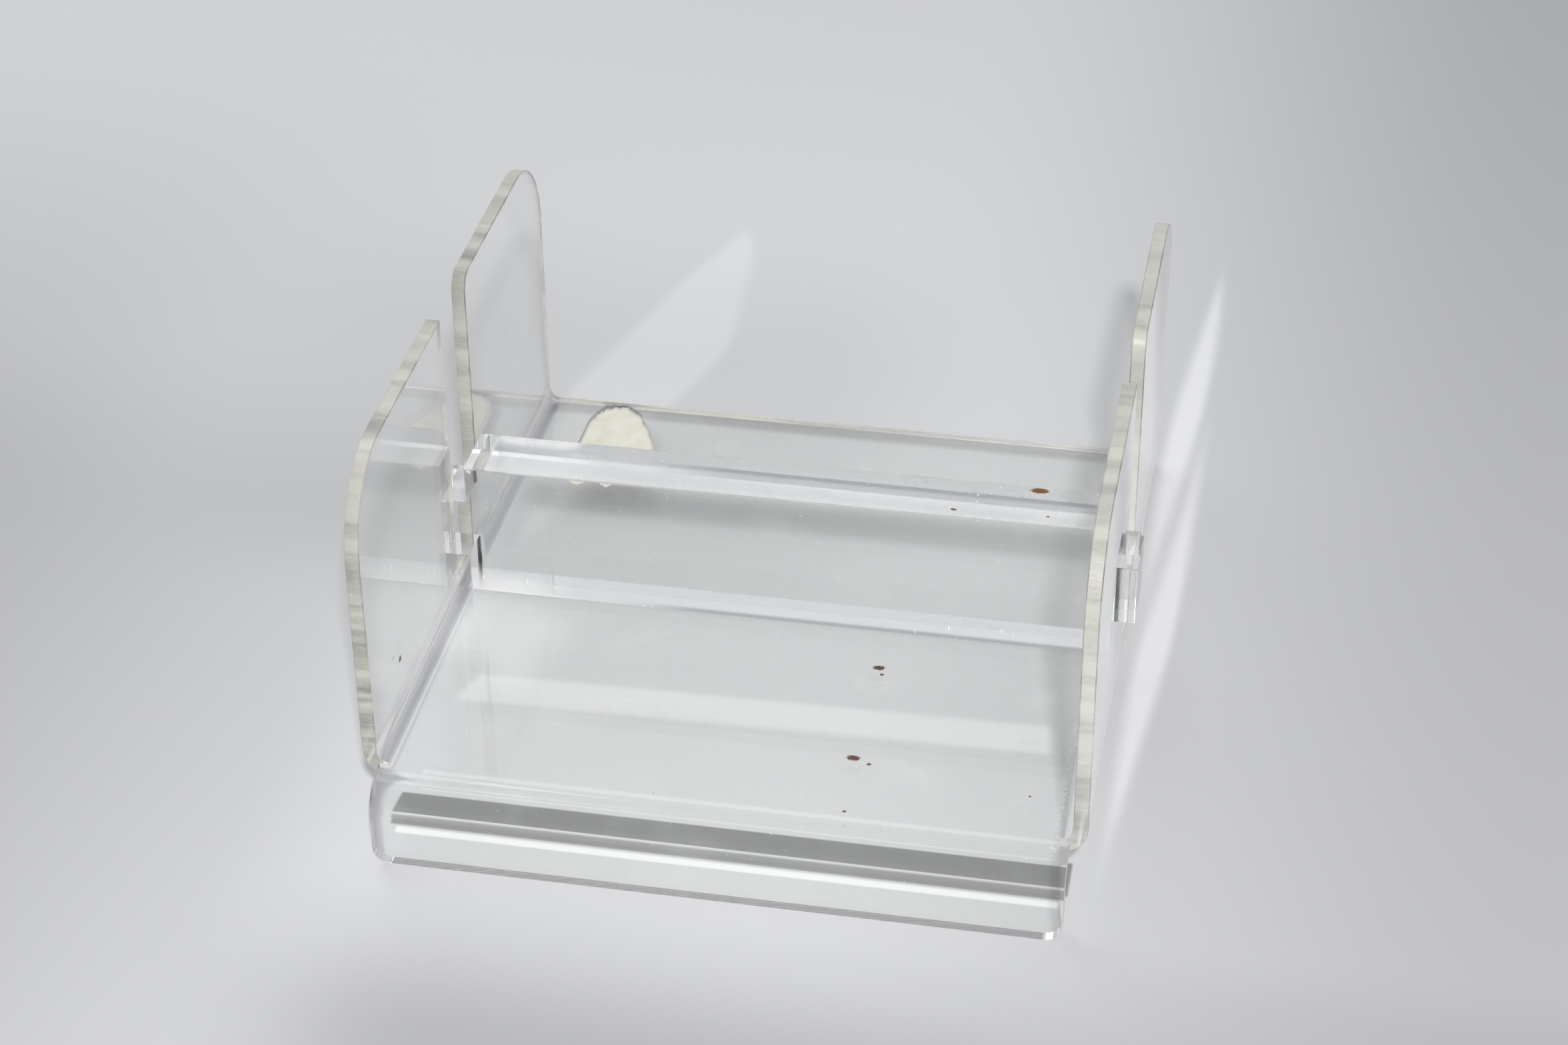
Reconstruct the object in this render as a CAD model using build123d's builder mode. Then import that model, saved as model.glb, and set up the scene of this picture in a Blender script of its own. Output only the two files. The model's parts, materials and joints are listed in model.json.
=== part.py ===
from build123d import *
from math import atan2, cos, sin, tan
import os

# A clear acrylic card tray folded from one sheet, with a loose solid bar that rides in two open slots.
# +X is to the right, +Y to the back and +Z up. The origin is on the table, in the middle of the outline.
# The front lip reaches lower than the floor of the tray, so the tray leans back on its rear edge.

# Folded sheet
sheet = 4.0  # sheet thickness
tray_width = 194.0  # across the outer faces of the side walls
tray_depth = 202.0  # along the floor, from the face of the front lip to the rear edge
fold_inside = 3.5  # inside radius of the two side folds
edge_break = 0.3  # bevel scraped along the sawn edges

# Side walls
wall_height = 89.0  # above the floor of the tray
front_corner = 25.0  # radius of the walls' front top corners
rear_corner = 25.0  # radius of the walls' rear top corners
slot_start = 94.0  # front edge of the open slots, from the face of the front lip
slot_over_fold = 1.5  # the bottom of each slot stays this far above the side fold
slot_corner = 5.5  # rounded mouth on the rear side of each slot

# Front lip, which is also the front foot
lip_drop = 24.0  # from the floor of the tray down to the table
lip_fold = 9.0  # outside radius of the front fold
lip_notch = 4.5  # how far in from the walls' outer faces the lip starts, clear of the side folds
notch_run = 2.5  # the notches run this far past the front fold before the walls start
lip_corner = 5.0  # rounded bottom corners of the lip

# Weight bar, sawn from thick solid sheet
bar_depth = 19.0
bar_height = 41.0
tab_height = 18.0
tab_overhang = 3.0  # how far each end tab stands out past its wall
bar_play_front = 0.5  # free play of the resting bar in its slots, in front of it
bar_play_rear = 5.0  # and behind it
bar_rest_gap = 0.05  # film of air under the resting bar
bar_edge = 0.4  # scraped edges of the bar
bar_rear_corner = 1.5  # rounder rear corners at the shoulders and at the tab ends

# What fits takes its size from what it fits
lip_width = tray_width - 2 * lip_notch
wall_front = lip_fold + notch_run
slot_width = bar_play_front + bar_depth + bar_play_rear
slot_end = slot_start + slot_width
slot_floor = fold_inside + slot_over_fold
flat_floor = tray_width - 2 * (sheet + fold_inside)
bar_length = flat_floor  # the shoulders stop where the folds begin, so that the bar lies flat
tab_reach = tray_width + 2 * tab_overhang
bar_start = slot_start + bar_play_front

# Lean of the tray: the back face of the lip and the rear edge of the floor both reach the table
lean = atan2(lip_drop - sheet, tray_depth - sheet)
lip_end = lip_drop + sheet * tan(lean)

# The foot and the rear wall corners set the outline, and the origin is midway between them
front_reach = lip_end * sin(lean)
rear_reach = (tray_depth - rear_corner) * cos(lean) + (wall_height - rear_corner) * sin(lean) + rear_corner
start_y = (front_reach - rear_reach) / 2
start_z = tray_depth * sin(lean) + sheet * cos(lean)

# Planes that lean with the tray, at the face of the lip and the surface of the floor
back = Vector(0, cos(lean), -sin(lean))
up = Vector(0, sin(lean), cos(lean))
tray_origin = Vector(0, start_y, start_z)
side_view = Plane(origin=tray_origin, x_dir=back, z_dir=(1, 0, 0))
wall_section = Plane(origin=tray_origin + back * wall_front, x_dir=(1, 0, 0), z_dir=back * -1)
bar_section = Plane(origin=tray_origin + back * bar_start, x_dir=(1, 0, 0), z_dir=back * -1)

with BuildPart() as tray_shell:
    # The floor and both walls are one U-shaped sheet
    wall_middle = (tray_width - sheet) / 2
    with BuildSketch(wall_section):
        with BuildLine():
            FilletPolyline(
                (-wall_middle, wall_height),
                (-wall_middle, -sheet / 2),
                (wall_middle, -sheet / 2),
                (wall_middle, wall_height),
                radius=fold_inside + sheet / 2,
            )
        trace(line_width=sheet)
    extrude(amount=-(tray_depth - wall_front))

    # Side view of the walls, with big rounded corners and a slot that is open at the top
    slot_mouth_end = slot_end + 2 * slot_corner
    with BuildSketch(side_view):
        with BuildLine():
            FilletPolyline(
                (wall_front, -sheet),
                (wall_front, wall_height),
                (slot_start, wall_height),
                radius=front_corner,
            )
            Polyline((slot_start, wall_height), (slot_start, slot_floor), (slot_end, slot_floor))
            FilletPolyline(
                (slot_end, slot_floor),
                (slot_end, wall_height),
                (slot_mouth_end, wall_height),
                radius=slot_corner,
            )
            FilletPolyline(
                (slot_mouth_end, wall_height),
                (tray_depth, wall_height),
                (tray_depth, -sheet),
                radius=rear_corner,
            )
            Line((tray_depth, -sheet), (wall_front, -sheet))
        make_face()
    extrude(amount=tray_width, both=True, mode=Mode.INTERSECT)

    # Scraped bevels round the sawn outline of both walls, on along the folds and the rear edge
    wall_faces = tray_shell.faces().filter_by(Axis.X)
    broad_faces = wall_faces.filter_by(lambda face: face.area > wall_height * slot_width)
    outline = [
        edge
        for edge in broad_faces.edges()
        if (edge.center() - tray_origin).dot(up) > fold_inside + edge_break
    ]
    chamfer(outline, length=edge_break)

    # The floor runs on to the front and folds down into the lip
    with BuildSketch(side_view):
        with BuildLine():
            FilletPolyline(
                (wall_front, -sheet / 2),
                (sheet / 2, -sheet / 2),
                (sheet / 2, -lip_end),
                radius=lip_fold - sheet / 2,
            )
        trace(line_width=sheet)
    extrude(amount=lip_width / 2, both=True)

    # The bevel left across the floor's front is filled where the lip carries on
    with BuildSketch(side_view):
        with Locations((wall_front + edge_break, -sheet / 2)):
            Rectangle(4 * edge_break, sheet)
    extrude(amount=flat_floor / 2, both=True)

    # The foot is dressed flat to the table
    with BuildSketch(Plane.XY):
        with Locations((0, start_y)):
            Rectangle(tray_width, 2 * lip_drop)
    extrude(amount=-lip_drop, mode=Mode.SUBTRACT)
    foot_corners = tray_shell.edges().filter_by(Axis.Y).group_by(Axis.Z)[0]
    fillet(foot_corners, radius=lip_corner)

tray_shell.part.label = "tray_shell"

with BuildPart() as weight_bar:
    # One outline for the tall body and the two short tabs, the full depth of the solid sheet
    with BuildSketch(bar_section):
        with Locations((0, bar_rest_gap + bar_height / 2)):
            Rectangle(bar_length, bar_height)
            Rectangle(tab_reach, tab_height)
    extrude(amount=-bar_depth)

    # The rear corners at the shoulders and tab ends are rounder than the scraped front edges
    upright_edges = weight_bar.edges().filter_by(lambda edge: abs(edge.tangent_at(0).dot(up)) > 0.99)
    rear_corners = upright_edges.filter_by(
        lambda edge: (edge.center() - tray_origin).dot(back) > bar_start + bar_depth / 2
    )
    fillet(rear_corners, radius=bar_rear_corner)

    front_face = weight_bar.faces().sort_by(Axis(tray_origin, back))[0]
    fillet(front_face.edges(), radius=bar_edge)

weight_bar.part.label = "weight_bar"

os.makedirs("parts", exist_ok=True)
export_step(tray_shell.part, "parts/tray_shell.step")
export_step(weight_bar.part, "parts/weight_bar.step")
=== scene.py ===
import json
import math

import bmesh
import bpy
from mathutils import Matrix, Vector
from mathutils import noise as mu_noise


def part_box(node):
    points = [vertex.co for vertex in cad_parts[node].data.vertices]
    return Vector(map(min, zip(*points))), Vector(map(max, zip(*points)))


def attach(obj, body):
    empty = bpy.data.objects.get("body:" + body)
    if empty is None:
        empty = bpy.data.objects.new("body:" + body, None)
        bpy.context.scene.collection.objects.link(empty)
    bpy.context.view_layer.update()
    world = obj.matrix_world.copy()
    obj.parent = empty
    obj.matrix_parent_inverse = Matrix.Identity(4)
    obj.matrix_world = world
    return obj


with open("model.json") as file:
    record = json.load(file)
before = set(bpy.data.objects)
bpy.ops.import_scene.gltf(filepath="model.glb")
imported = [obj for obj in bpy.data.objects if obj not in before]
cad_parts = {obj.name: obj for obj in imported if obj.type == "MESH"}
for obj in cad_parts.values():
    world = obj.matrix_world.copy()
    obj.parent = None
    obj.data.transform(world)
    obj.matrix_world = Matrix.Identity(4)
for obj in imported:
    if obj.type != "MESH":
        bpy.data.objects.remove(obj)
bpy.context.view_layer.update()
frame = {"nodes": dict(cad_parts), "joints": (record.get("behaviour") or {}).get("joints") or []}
scene = bpy.context.scene

# ---------------------------------------------------------------- the tray's own axes, from the frame
# In the tray's axes x runs along the bar, v runs back along the floor from the face of the lip, and w rises
# square from the floor. Sizes in these axes are in millimetres. Blender itself works in metres.
MM = 0.001
lift = Vector(frame["joints"][0]["axis"]).normalized()
back = Vector((0, lift.z, -lift.y))
tray_low, tray_high = (Vector(c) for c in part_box("tray_shell"))
bar_low, bar_high = (Vector(c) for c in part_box("weight_bar"))
bar_spread = bar_high - bar_low
bar_height = (bar_spread.z * lift.z - bar_spread.y * lift.y) / (lift.z**2 - lift.y**2)
under_bar = Vector((0, bar_high.y - bar_height * lift.y, bar_low.z))
lip_foot = Vector((0, tray_low.y, 0))
tray_origin = lip_foot + lift * (under_bar - lip_foot).dot(lift)

sheet = 4.0
fold_inside = 3.5  # inside radius of the folds between floor and walls
half_width = tray_high.x / MM
inner_wall = half_width - sheet
flat_half = inner_wall - fold_inside
bar_front = (Vector((0, bar_low.y, 0)) - lip_foot).dot(back) / MM
bar_top = bar_height / MM
wall_front = 11.5
slot_start, slot_end = 94.0, 118.5
tray_depth = 202.0
wall_height = 89.0
wall_corner = 25.0

ACRYLIC_IOR = 1.49
CLEAR = (0.985, 0.99, 0.985, 1.0)


def place(x, v, w):
    """A point of the tray's axes, in metres in the shared frame."""
    return tray_origin + (Vector((x, 0, 0)) + back * v + lift * w) * MM


# ---------------------------------------------------------------- node helpers
class Tree:
    """A material and short names for the nodes it is built from."""

    def __init__(self, name):
        self.mat = bpy.data.materials.new(name)
        self.mat.use_nodes = True
        self.links = self.mat.node_tree.links
        self.nodes = self.mat.node_tree.nodes
        self.nodes.clear()

    def node(self, kind, **props):
        made = self.nodes.new("ShaderNode" + kind)
        for key, value in props.items():
            setattr(made, key, value)
        return made

    def put(self, socket, value):
        if isinstance(value, bpy.types.NodeSocket):
            self.links.new(value, socket)
        else:
            socket.default_value = value

    def math(self, operation, a, b=0.0, clamp=False):
        made = self.node("Math", operation=operation, use_clamp=clamp)
        self.put(made.inputs[0], a)
        self.put(made.inputs[1], b)
        return made.outputs[0]

    def add(self, *values, clamp=False):
        total = values[0]
        for value in values[1:]:
            total = self.math("ADD", total, value, clamp)
        return total

    def times(self, *values):
        total = values[0]
        for value in values[1:]:
            total = self.math("MULTIPLY", total, value)
        return total

    def most(self, *values):
        total = values[0]
        for value in values[1:]:
            total = self.math("MAXIMUM", total, value)
        return total

    def above(self, a, b):
        return self.math("GREATER_THAN", a, b)

    def below(self, a, b):
        return self.math("LESS_THAN", a, b)

    def vector(self, x, y, z):
        made = self.node("CombineXYZ")
        for socket, value in zip(made.inputs, (x, y, z)):
            self.put(socket, value)
        return made.outputs[0]

    def dot(self, a, direction):
        made = self.node("VectorMath", operation="DOT_PRODUCT")
        self.put(made.inputs[0], a)
        made.inputs[1].default_value = direction
        return made.outputs["Value"]

    def noise(self, vector, scale, detail=2.0, roughness=0.5):
        made = self.node("TexNoise")
        self.put(made.inputs["Vector"], vector)
        made.inputs["Scale"].default_value = scale
        made.inputs["Detail"].default_value = detail
        made.inputs["Roughness"].default_value = roughness
        return made.outputs["Fac"]

    def cells(self, vector, scale):
        """Distance to the nearest of many scattered points, and each point's own random number."""
        made = self.node("TexVoronoi")
        self.put(made.inputs["Vector"], vector)
        made.inputs["Scale"].default_value = scale
        channels = self.node("SeparateColor")
        self.put(channels.inputs[0], made.outputs["Color"])
        return made.outputs["Distance"], channels.outputs[0]

    def ramp(self, value, low, high, start=0.0, end=1.0):
        """Value from low to high turned smoothly into start to end."""
        made = self.node("MapRange", interpolation_type="SMOOTHSTEP")
        self.put(made.inputs["Value"], value)
        for socket, number in zip(made.inputs[1:5], (low, high, start, end)):
            socket.default_value = number
        return made.outputs[0]

    def blend(self, share, a, b):
        made = self.node("Mix", data_type="RGBA")
        self.put(made.inputs[0], share)
        self.put(made.inputs[6], a)
        self.put(made.inputs[7], b)
        return made.outputs[2]

    def bump(self, height, strength, distance):
        made = self.node("Bump")
        self.put(made.inputs["Height"], height)
        made.inputs["Strength"].default_value = strength
        made.inputs["Distance"].default_value = distance
        return made.outputs[0]

    def tray_axes(self):
        """Position (x, v, w) in millimetres and the normal, both in the tray's axes."""
        coordinates = self.node("TexCoord")
        moved = self.node("VectorMath", operation="SUBTRACT")
        self.put(moved.inputs[0], coordinates.outputs["Object"])
        moved.inputs[1].default_value = tray_origin
        axes = (Vector((1, 0, 0)), back, lift)
        position = [self.dot(moved.outputs[0], axis / MM) for axis in axes]
        normal = [self.dot(coordinates.outputs["Normal"], axis) for axis in axes]
        return position, normal

    def spot(self, at, centre, radius, squash=1.0, wobble=None):
        """1 inside a small round mark at centre (x, v, w), 0 outside."""
        steps = [self.math("SUBTRACT", a, c) for a, c in zip(at, centre)]
        steps[0] = self.math("MULTIPLY", steps[0], squash)
        length = self.node("VectorMath", operation="LENGTH")
        self.put(length.inputs[0], self.vector(*steps))
        reach = length.outputs["Value"]
        if wobble is not None:
            reach = self.add(reach, wobble)
        return self.ramp(reach, radius * 0.75, radius, 1.0, 0.0)

    def finish(self, shader):
        output = self.node("OutputMaterial")
        self.links.new(shader, output.inputs["Surface"])
        return self.mat


def rgb(r, g, b):
    return (r, g, b, 1.0)


def let_lamps_through(t, solid, tint):
    """Lamp and bounce light passes straight through the clear plastic, less what the surface mirrors away."""
    mirrored_square_on, mirrored_grazing = 0.04, 0.15
    facing = t.node("LayerWeight")
    facing.inputs["Blend"].default_value = 0.5
    grazing = t.math("POWER", facing.outputs["Facing"], 5.0)
    mirrored = t.add(t.times(grazing, mirrored_grazing), mirrored_square_on)
    passed = t.math("SUBTRACT", 1.0, mirrored)
    clear = t.node("BsdfTransparent")
    t.put(clear.inputs["Color"], t.blend(passed, rgb(0, 0, 0), tint))
    path = t.node("LightPath")
    bounced = t.above(path.outputs["Diffuse Depth"], 0.5)
    mixed = t.node("MixShader")
    t.put(mixed.inputs[0], t.most(path.outputs["Is Shadow Ray"], bounced))
    t.links.new(solid, mixed.inputs[1])
    t.links.new(clear.outputs[0], mixed.inputs[2])
    return mixed.outputs[0]


def handled_surface(t, at):
    """Smudges, wiping scratches and dust on a polished face, each from 0 to 1."""
    x, v, w = at
    here = t.vector(*at)
    smudge = t.ramp(t.noise(here, 0.045, 4.0, 0.6), 0.52, 0.75)
    streaks = t.vector(t.times(x, 0.25), t.add(v, t.times(x, 0.35)), w)
    hairline = t.ramp(t.noise(streaks, 2.6, 3.0, 0.7), 0.70, 0.78)
    rubbed = t.ramp(t.noise(here, 0.02, 2.0), 0.5, 0.62)
    speck_distance, speck_chance = t.cells(here, 0.45)
    dust = t.times(t.ramp(speck_distance, 0.05, 0.11, 1.0, 0.0), t.above(speck_chance, 0.80))
    return smudge, t.times(hairline, rubbed), dust


def dirt_marks(t, at, wobble, marks):
    """1 inside any of the marks, each a centre, a radius and a squash along x."""
    return t.most(*(t.spot(at, centre, radius, squash, wobble) for centre, radius, squash in marks))


def sheet_acrylic():
    """The folded sheet: clear polished faces and straw-coloured sawn edges with the marks of the scraper; the
    edges carry painted light and shade, and the rear flaps painted shade.
    """
    t = Tree("sheet_acrylic_clear")
    at, normal = t.tray_axes()
    x, v, w = at
    side = t.math("ABSOLUTE", x)
    sideways, lengthways = (t.math("ABSOLUTE", n) for n in normal[:2])
    wall_face = t.above(sideways, 0.9)
    above_folds = t.above(w, fold_inside + 1.1)

    sawn_ends = t.times(t.above(lengthways, 0.5), t.above(v, wall_front - 0.5))
    sawn_walls = t.times(t.below(sideways, 0.9), t.most(sawn_ends, above_folds))
    sawn_lip = t.times(wall_face, t.below(side, inner_wall - 0.2))
    sawn = t.add(sawn_walls, sawn_lip, clamp=True)

    across_lines = t.vector(t.times(x, 0.12), v, w)
    saw_lines = t.noise(across_lines, 2.6, 3.0, 0.65)
    patches = t.ramp(t.noise(across_lines, 0.09, 4.0, 0.65), 0.38, 0.62)
    # Painted light and shade: the sawn edges are lighter towards the lower right, where the flash falls on
    # them, and darker towards the top.
    flash_lit_lower_right = t.times(t.ramp(x, -20.0, 90.0), t.ramp(w, 25.0, 80.0, 0.8, 0.1))
    upper = t.ramp(w, 35.0, 85.0, 0.0, 0.45)
    straw = t.blend(patches, rgb(0.84, 0.83, 0.74), rgb(0.60, 0.595, 0.53))
    straw = t.blend(t.ramp(saw_lines, 0.40, 0.75), straw, rgb(0.88, 0.87, 0.80))
    straw = t.blend(flash_lit_lower_right, straw, rgb(0.97, 0.96, 0.91))
    straw = t.blend(upper, straw, rgb(0.50, 0.485, 0.42))

    smudge, hairline, dust = handled_surface(t, at)
    scuffed_end = 62.0
    from_fold = t.math("ABSOLUTE", t.add(x, 0.7 - flat_half))
    scuffed = t.times(t.ramp(from_fold, 0.4, 1.6, 1.0, 0.0), t.below(v, scuffed_end), t.above(w, -0.5))
    scuffs = t.times(scuffed, t.ramp(t.noise(t.vector(x, t.times(v, 2.0), w), 1.6, 3.0), 0.5, 0.6))
    worn = t.add(t.times(hairline, 0.12), t.times(scuffs, 0.35))
    haze = t.add(t.times(smudge, 0.05), t.times(dust, 0.5), worn, 0.012)
    wobble = t.times(t.noise(t.vector(*at), 1.4, 2.0), 1.2)
    dirt = dirt_marks(t, at, wobble, (
        ((31.5, 77.5, 0.0), 1.9, 0.6),
        ((32.8, 74.5, 0.0), 1.3, 1.0),
        ((31.5, 36.0, 0.0), 2.0, 0.6),
        ((36.0, 34.0, 0.0), 1.3, 1.0),
        ((33.0, 13.0, 0.0), 1.3, 1.0),
        ((80.0, 28.0, 0.0), 1.1, 1.0),
        ((-17.7, 11.7, 0.0), 1.0, 1.0),
        ((-inner_wall, 37.0, 16.0), 1.7, 3.0),
    ))

    # Painted shade: the rear flaps are a little darker than the front flaps of the same sheet.
    rear_flap = t.times(wall_face, t.above(v, slot_end))
    colour = t.blend(rear_flap, CLEAR, rgb(0.93, 0.93, 0.93))
    colour = t.blend(sawn, colour, straw)
    colour = t.blend(haze, colour, rgb(0.95, 0.95, 0.94))
    colour = t.blend(dirt, colour, rgb(0.10, 0.045, 0.02))
    cloudy = t.add(t.times(sawn, t.add(t.times(patches, -0.30), 0.70)), haze, dirt, clamp=True)

    bsdf = t.node("BsdfPrincipled")
    t.put(bsdf.inputs["Base Color"], colour)
    t.put(bsdf.inputs["Transmission Weight"], t.math("SUBTRACT", 1.0, cloudy, clamp=True))
    t.put(bsdf.inputs["Roughness"], t.add(t.times(sawn, 0.30), t.times(smudge, 0.04), t.times(dirt, 0.4)))
    bsdf.inputs["IOR"].default_value = ACRYLIC_IOR
    relief = t.add(t.times(saw_lines, sawn), t.times(hairline, 0.02))
    t.put(bsdf.inputs["Normal"], t.bump(relief, 0.35, 0.0002))
    side_fold = t.times(t.ramp(side, flat_half, flat_half + 1.0), t.ramp(w, 2.5, 4.0, 1.0, 0.0))
    less_at_right = t.ramp(x, -1.0, 1.0, 1.0, 0.4)
    tint = t.blend(t.times(side_fold, less_at_right), rgb(0.985, 0.985, 0.98), rgb(0.50, 0.50, 0.52))
    tint = t.blend(sawn, tint, rgb(0.55, 0.55, 0.53))
    return t.finish(let_lamps_through(t, bsdf.outputs[0], tint))


def solid_acrylic():
    """The bar: a polished clear block with nicks and scuffs along the low front edge, painted highlights on
    its top and low front edge, and a painted shade line at its foot.
    """
    t = Tree("solid_acrylic_clear")
    at, normal = t.tray_axes()
    x, v, w = at
    smudge, hairline, dust = handled_surface(t, at)

    nick_cells = t.vector(t.times(x, 0.55), t.times(v, 0.35), t.times(w, 0.16))
    nick_distance, nick_chance = t.cells(nick_cells, 1.0)
    worn = t.ramp(t.noise(t.vector(t.times(x, 0.03), 0.0, t.times(w, 0.05)), 1.0), 0.46, 0.58)
    front_face = t.below(v, bar_front + 1.0)
    low_front = t.times(t.ramp(w, 2.0, 10.0, 1.0, 0.0), front_face)
    nicks = t.times(t.ramp(nick_distance, 0.10, 0.2, 1.0, 0.0), t.above(nick_chance, 0.40), worn, low_front)

    top_face = t.above(normal[2], 0.5)
    # Painted highlight: a whitish haze on the front part of the top face makes it show lighter.
    lit_top_front = t.times(top_face, t.ramp(v, bar_front + 8.0, bar_front + 10.5, 0.14, 0.0))
    # Painted highlight over real wear: a whitish haze along the left of the low front edge stands for the
    # flash glinting on that worn edge.
    glint_on_left_foot = t.times(low_front, t.ramp(x, -78.0, -56.0, 0.75, 0.0))
    handled = t.add(t.times(smudge, 0.04), t.times(hairline, 0.12), t.times(dust, 0.5))
    # This haze holds the handling marks and also the two painted highlights.
    haze = t.add(handled, lit_top_front, glint_on_left_foot, 0.015)
    wobble = t.times(t.noise(t.vector(*at), 1.4, 2.0), 0.8)
    dirt = dirt_marks(t, at, wobble, (
        ((70.7, bar_front + 15.6, bar_top), 2.0, 0.5),
        ((48.5, bar_front + 2.2, bar_top), 1.1, 0.6),
        ((74.4, bar_front + 3.1, bar_top), 0.9, 1.0),
        ((-40.2, bar_front, 37.9), 1.0, 1.0),
        ((10.8, bar_front, 16.7), 1.1, 0.7),
        ((36.7, bar_front, 10.6), 1.2, 1.0),
        ((-28.3, bar_front, 6.9), 1.0, 0.6),
    ))
    colour = t.blend(haze, rgb(0.985, 0.99, 0.99), rgb(0.95, 0.95, 0.95))
    # Painted shade: a darker line along the foot of the front face, where the bar stands on the floor of the
    # tray.
    shaded_foot_line = t.times(t.ramp(w, 1.2, 2.0, 1.0, 0.0), front_face, t.ramp(x, -50.0, -20.0))
    colour = t.blend(shaded_foot_line, colour, rgb(0.45, 0.45, 0.47))
    colour = t.blend(nicks, colour, rgb(1.0, 1.0, 1.0))
    colour = t.blend(dirt, colour, rgb(0.16, 0.06, 0.015))
    cloudy = t.add(haze, nicks, dirt, clamp=True)

    bsdf = t.node("BsdfPrincipled")
    t.put(bsdf.inputs["Base Color"], colour)
    t.put(bsdf.inputs["Transmission Weight"], t.math("SUBTRACT", 1.0, cloudy, clamp=True))
    t.put(bsdf.inputs["Roughness"], t.add(t.times(smudge, 0.04), t.times(cloudy, 0.3)))
    bsdf.inputs["IOR"].default_value = ACRYLIC_IOR
    t.put(bsdf.inputs["Normal"], t.bump(t.add(t.times(hairline, 0.1), nicks), 0.3, 0.0002))
    foot_strip = t.times(t.below(normal[1], -0.5), t.ramp(w, 8.0, 10.0, 1.0, 0.0))
    tint = t.blend(t.add(top_face, foot_strip, clamp=True), rgb(0.985, 0.985, 0.985), rgb(0.60, 0.60, 0.62))
    return t.finish(let_lamps_through(t, bsdf.outputs[0], tint))


for node_name, make in (("tray_shell", sheet_acrylic), ("weight_bar", solid_acrylic)):
    slots = frame["nodes"][node_name].data.materials
    slots.clear()
    slots.append(make())


# ---------------------------------------------------------------- tape left on the floor of the tray
def torn_tape():
    """A scrap of blank cream tape stuck near the rear left corner, torn across at both ends."""
    rear_tear = [(-77.4, 188), (-75.8, 194.5), (-72.5, 198), (-68, 199.3), (-63, 195), (-58.5, 187.5)]
    front_tear = [(-54.2, 166), (-56.5, 162.5), (-60, 165.5), (-64, 161.5), (-69, 164.5), (-73, 161)]
    outline = [(-77.5, 164), *rear_tear, (-54.4, 177), *front_tear]
    centre = Vector((-66.0, 180.0))
    rings, steps = 9, 8
    mesh = bmesh.new()
    rows = []
    for ring in range(rings):
        share = 1 - ring / rings
        row = []
        for a, b in zip(outline, outline[1:] + outline[:1]):
            for step in range(steps):
                point = Vector(a).lerp(Vector(b), step / steps)
                ragged = 1.3 if point.y > 190 or point.y < 163.9 else 0.3
                torn = mu_noise.noise(Vector((point.x, point.y, 0)) * 1.3) * ragged * share
                flat = centre.lerp(point, share) + (point - centre).normalized() * torn
                crease = mu_noise.noise(Vector((flat.x, flat.y, 5)) * 0.35)
                height = 0.05 + 0.10 * abs(crease) + 0.5 * max(0.0, share - 0.75) * abs(crease)
                row.append(mesh.verts.new(place(flat.x, flat.y, height)))
        rows.append(row)
    middle = mesh.verts.new(place(centre.x, centre.y, 0.08))
    count = len(rows[0])
    for outer, inner in zip(rows, rows[1:]):
        for i in range(count):
            mesh.faces.new((outer[i], outer[(i + 1) % count], inner[(i + 1) % count], inner[i]))
    for i in range(count):
        mesh.faces.new((rows[-1][i], rows[-1][(i + 1) % count], middle))
    bmesh.ops.recalc_face_normals(mesh, faces=mesh.faces)
    bmesh.ops.solidify(mesh, geom=mesh.faces[:], thickness=0.03 * MM)
    data = bpy.data.meshes.new("torn_tape")
    mesh.to_mesh(data)
    mesh.free()
    for face in data.polygons:
        face.use_smooth = True
    tape = bpy.data.objects.new("torn_tape", data)
    scene.collection.objects.link(tape)

    t = Tree("cream_tape")
    here = t.node("TexCoord").outputs["Object"]
    fibres = t.noise(here, 900.0, 4.0, 0.7)
    stain = t.ramp(t.noise(here, 160.0, 3.0), 0.45, 0.65)
    colour = t.blend(stain, rgb(0.78, 0.765, 0.66), rgb(0.72, 0.70, 0.58))
    colour = t.blend(t.times(fibres, 0.3), colour, rgb(0.85, 0.84, 0.76))
    bsdf = t.node("BsdfPrincipled")
    t.put(bsdf.inputs["Base Color"], colour)
    t.put(bsdf.inputs["Roughness"], t.ramp(fibres, 0.3, 0.7, 0.55, 0.8))
    t.put(bsdf.inputs["Normal"], t.bump(fibres, 0.4, 0.0001))
    data.materials.append(t.finish(bsdf.outputs[0]))
    return tape


tape = torn_tape()
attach(tape, "tray")


# ---------------------------------------------------------------- floor
flash_at = Vector((0.17, -0.60, 0.68))


def mirrored(mirror_x, tilt, points):
    """Where points (v, w) of an upright wall, leaning out by tilt degrees, throw the flash on the table."""
    across = Vector((math.cos(math.radians(tilt)), 0, math.sin(math.radians(tilt))))
    landed = []
    for v, w in points:
        point = place(mirror_x, v, w)
        ray = (point - flash_at).reflect(across)
        landed.append((point - ray * (point.z / ray.z)).xy)
    return landed


def light_patch(t, here, corners, soft):
    """1 inside the convex outline of corners on the table and 0 outside, soft metres wide at its edge."""
    middle = sum(corners, Vector((0, 0))) / len(corners)
    inside = 1.0
    for a, b in zip(corners, corners[1:] + corners[:1]):
        inward = Vector((a.y - b.y, b.x - a.x)).normalized()
        if inward.dot(middle - a) < 0:
            inward.negate()
        depth = t.math("SUBTRACT", t.dot(here, inward.to_3d()), inward.dot(a))
        inside = t.times(inside, t.ramp(depth, -soft / 2, soft / 2))
    return inside


def outline_on_table(*corners):
    """Corners (x, y) in millimetres as vectors in metres."""
    return [Vector(corner) * MM for corner in corners]


def strip(reach, near_y, far_y):
    """The outline of a strip across the table under the tray, from sizes in millimetres."""
    return outline_on_table((-reach, near_y), (reach, near_y), (reach, far_y), (-reach, far_y))


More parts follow.
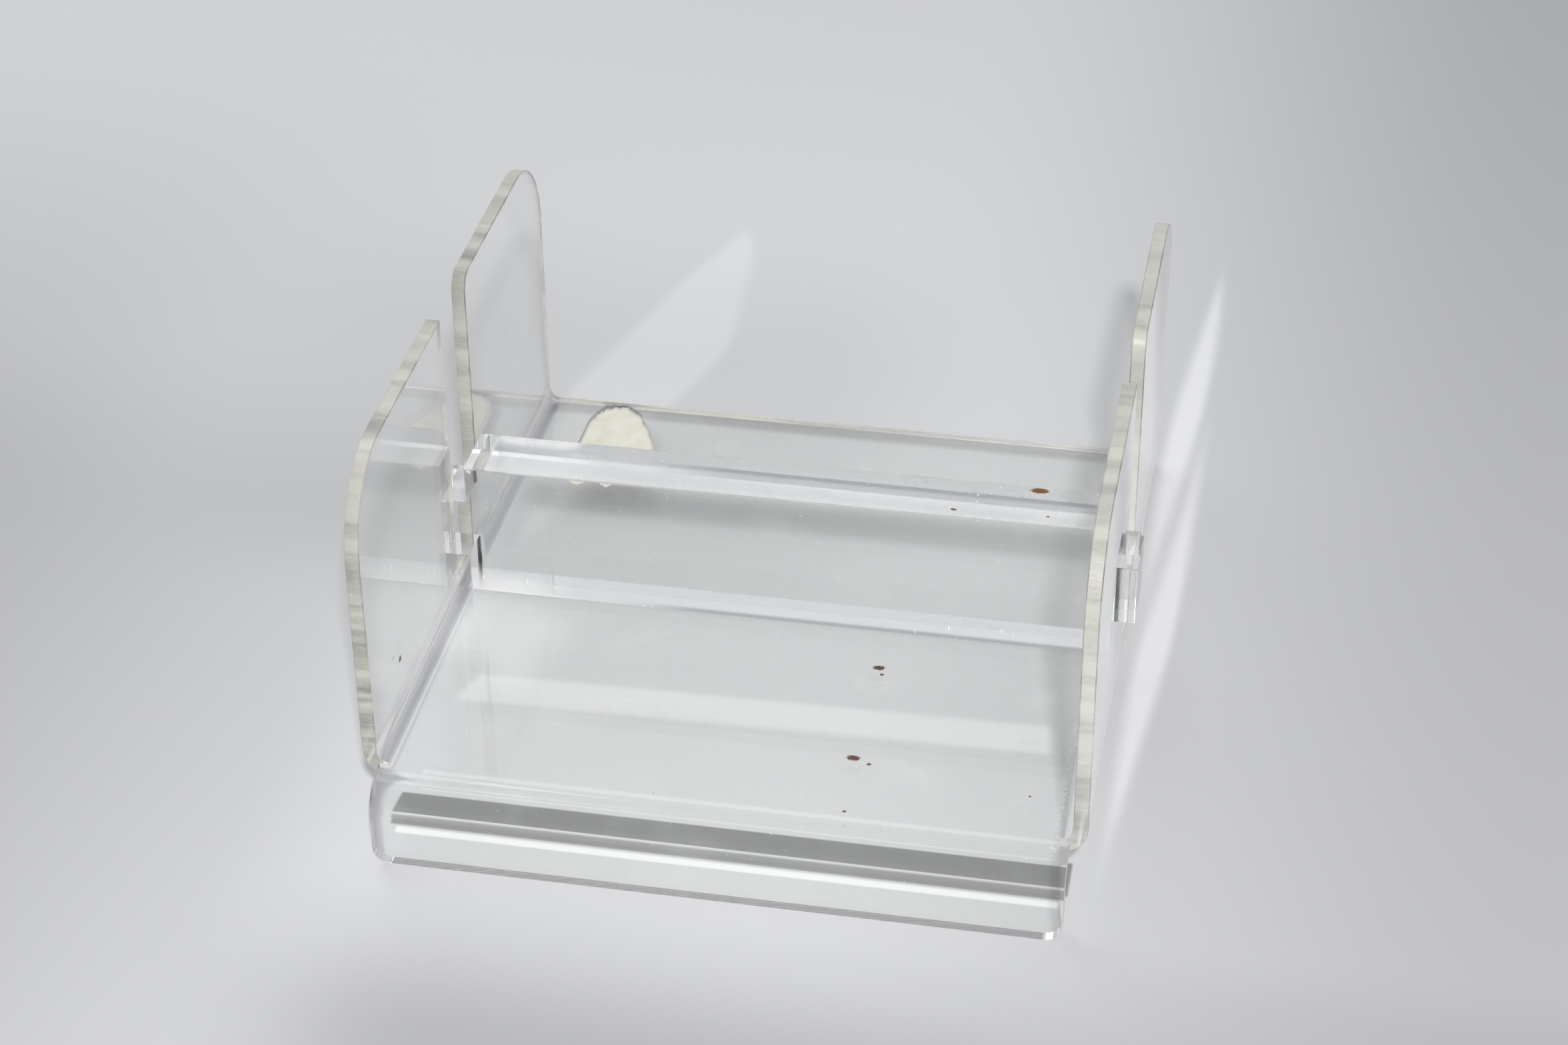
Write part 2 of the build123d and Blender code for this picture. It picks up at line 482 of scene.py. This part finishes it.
def pale_paper():
    """Pale paper, with painted shade darker at the sides, and the painted light and shade that the plastic
    throws on it.
    """
    t = Tree("stage_paper")
    here = t.node("TexCoord").outputs["Object"]
    tone = t.noise(here, 1.7, 3.0)
    grain = t.noise(here, 900.0, 2.0)
    shade = t.blend(tone, rgb(0.68, 0.68, 0.69), rgb(0.72, 0.72, 0.73))
    x = t.dot(here, (1, 0, 0))
    y = t.dot(here, (0, 1, 0))
    # Painted shade: the paper is darker to the left, to the front and to the right, where the light falls
    # off.
    left = t.times(t.ramp(x, -0.30, -0.06, 1.0, 0.0), t.ramp(y, 0.02, 0.34, 1.0, 0.0))
    front = t.times(t.ramp(y, -0.165, -0.112, 1.0, 0.0), t.ramp(x, -0.15, -0.06))
    right = t.ramp(x, 0.0, 0.22)
    shade = t.blend(left, shade, rgb(0.50, 0.50, 0.51))
    shade = t.blend(front, shade, rgb(0.46, 0.46, 0.47))
    shade = t.blend(right, shade, rgb(0.47, 0.47, 0.48))

    # The outlines (v, w) of a wall's two flaps, in millimetres, with straight cuts for their round corners.
    shoulder = wall_height - wall_corner
    rear_flap = [(slot_end, 84), (slot_end + 5, wall_height), (tray_depth - wall_corner, wall_height)]
    rear_flap += [(195, 82), (tray_depth, shoulder), (tray_depth, sheet), (slot_end, sheet)]
    front_flap = [(slot_start, wall_height), (36, wall_height), (18, 82)]
    front_flap += [(wall_front, shoulder), (wall_front, sheet), (slot_start, sheet)]
    mirrored_by_bar = outline_on_table((-83, -30), (80, -26.5), (81, -37.5), (-87, -41.5))
    bright_line_in_front_fold = strip(90, -91.8, -89.5)
    thin_line_in_front_fold = strip(88, -72.2, -70.6)
    glint_at_bar_end = outline_on_table((-96, 7), (-73, 9), (-71, 16), (-95, 14))
    glints_inside_left_fold = outline_on_table((-104, -16), (-90, 4), (-62, -4), (-70, -34))
    glows = (
        # outline, width of its soft edge in metres, strength
        (mirrored(-inner_wall, 0.9, rear_flap), 0.006, 0.07),
        (mirrored(half_width, 0.0, rear_flap), 0.006, 0.20),
        (mirrored(half_width, 0.0, front_flap), 0.006, 0.20),
        (mirrored_by_bar, 0.003, 0.12),
        (bright_line_in_front_fold, 0.0008, 0.28),
        (thin_line_in_front_fold, 0.0008, 0.10),
        (glint_at_bar_end, 0.004, 0.45),
        (glints_inside_left_fold, 0.018, 0.13),
    )
    patches = [t.times(light_patch(t, here, outline, soft), strength) for outline, soft, strength in glows]
    glow = t.add(*patches)

    behind = t.times(t.ramp(y, 0.12, 0.22, 1.0, 0.0), t.ramp(y, -0.01, 0.05))
    behind_left = t.times(t.ramp(x, -0.02, 0.06, 1.0, 0.0), t.ramp(x, -0.22, -0.12), behind)
    near_left = t.times(t.ramp(x, -0.14, -0.09, 1.0, 0.0), t.ramp(y, 0.02, 0.12, 1.0, 0.0))
    near_front = t.times(t.ramp(x, -0.13, -0.08), t.ramp(y, -0.125, -0.100, 1.0, 0.0))
    under_front_fold = light_patch(t, here, strip(92, -88.7, -76.2), 0.001)
    behind_bar = light_patch(t, here, strip(88, 53, 65.5), 0.009)
    under_rear_edge = light_patch(t, here, strip(92, 93, 98.5), 0.003)
    shadow = t.add(
        t.times(behind_left, 0.14),
        t.times(near_left, 0.12),
        t.times(near_front, 0.09),
        t.times(under_front_fold, 0.63),
        t.times(behind_bar, 0.42),
        t.times(under_rear_edge, 0.30),
    )
    shade = t.blend(shadow, shade, rgb(0.02, 0.02, 0.02))
    bsdf = t.node("BsdfPrincipled")
    t.put(bsdf.inputs["Base Color"], shade)
    bsdf.inputs["Roughness"].default_value = 0.8
    bsdf.inputs["Emission Color"].default_value = rgb(1, 1, 1)
    t.put(bsdf.inputs["Emission Strength"], glow)
    t.put(bsdf.inputs["Normal"], t.bump(grain, 0.1, 0.0002))
    return t.finish(bsdf.outputs[0])


floor_size = 6.0
bpy.ops.mesh.primitive_plane_add(size=floor_size)
floor = bpy.context.object
floor.name = "stage_floor"
floor.data.materials.append(pale_paper())

# ---------------------------------------------------------------- camera, fitted to the tray's straight edges
camera_at = Vector((0.15017792, -0.71331055, 0.63867674))
camera_right = Vector((0.98248792, 0.18457140, -0.02551230))
camera_down = Vector((0.09733518, -0.62516390, -0.77440038))
camera_forward = camera_right.cross(camera_down)
camera_data = bpy.data.cameras.new("photo_camera")
camera_data.sensor_width = 36.0
camera_data.lens = 77.4651
camera_data.clip_start = 0.01
camera_data.clip_end = 20
camera = bpy.data.objects.new("photo_camera", camera_data)
camera_turn = Matrix((camera_right, -camera_down, -camera_forward)).transposed()
camera.matrix_world = Matrix.Translation(camera_at) @ camera_turn.to_4x4()
scene.collection.objects.link(camera)
scene.camera = camera

# ---------------------------------------------------------------- light


def studio_world():
    """Pale paper behind the tray and a darker room in front, as the table and the plastic each see them."""
    world = bpy.data.worlds.new("studio")
    world.use_nodes = True
    nodes = world.node_tree.nodes
    links = world.node_tree.links
    background = nodes["Background"]
    background.inputs["Color"].default_value = rgb(0.95, 0.97, 1.0)
    looking = nodes.new("ShaderNodeTexCoord").outputs["Generated"]
    path = nodes.new("ShaderNodeLightPath")

    def towards(direction, low, high, start, end):
        """Brightness that goes from start to end as the view turns towards direction."""
        dot = nodes.new("ShaderNodeVectorMath")
        dot.operation = "DOT_PRODUCT"
        links.new(looking, dot.inputs[0])
        dot.inputs[1].default_value = direction
        brightness = nodes.new("ShaderNodeMapRange")
        brightness.interpolation_type = "SMOOTHSTEP"
        links.new(dot.outputs["Value"], brightness.inputs["Value"])
        for socket, number in zip(brightness.inputs[1:5], (low, high, start, end)):
            socket.default_value = number
        return brightness.outputs[0]

    def either(switch, a, b):
        """b for the rays that the switch of the Light Path node names, and a for the others."""
        mix = nodes.new("ShaderNodeMix")
        links.new(path.outputs[switch], mix.inputs[0])
        for socket, value in zip(mix.inputs[2:4], (a, b)):
            if isinstance(value, bpy.types.NodeSocket):
                links.new(value, socket)
            else:
                socket.default_value = value
        return mix.outputs[0]

    seen_in_plastic = towards((-0.35, 0.85, 0.35), -0.25, 0.75, 0.14, 0.72)
    lights_the_table = towards((-0.25, 0.95, -0.20), -0.1, 0.75, 0.14, 0.74)
    behind_it_all = 0.62
    room = either("Is Diffuse Ray", seen_in_plastic, lights_the_table)
    links.new(either("Is Camera Ray", room, behind_it_all), background.inputs["Strength"])
    return world


scene.world = studio_world()


def area_light(name, place_at, aim_at, size, power, colour=(1, 1, 1)):
    data = bpy.data.lights.new(name, "AREA")
    data.energy = power
    data.size = size
    data.color = colour
    lamp = bpy.data.objects.new(name, data)
    scene.collection.objects.link(lamp)
    lamp.location = place_at
    lamp.rotation_mode = "QUATERNION"
    lamp.rotation_quaternion = (Vector(aim_at) - Vector(place_at)).to_track_quat("-Z", "Y")
    return lamp


flash_distance = 1.7  # times as far out as the point that the painted light was worked out from
area_light("flash", flash_at * flash_distance, (0, 0, 0.03), 0.08, 20.0)
area_light("window", (-1.3, 1.2, 1.5), (0, 0.2, 0), 1.4, 17.0, (0.96, 0.98, 1.0))

scene.view_settings.view_transform = "Standard"
scene.cycles.max_bounces = 24
scene.cycles.transmission_bounces = 20
scene.cycles.transparent_max_bounces = 24
scene.cycles.caustics_reflective = False
scene.cycles.caustics_refractive = False
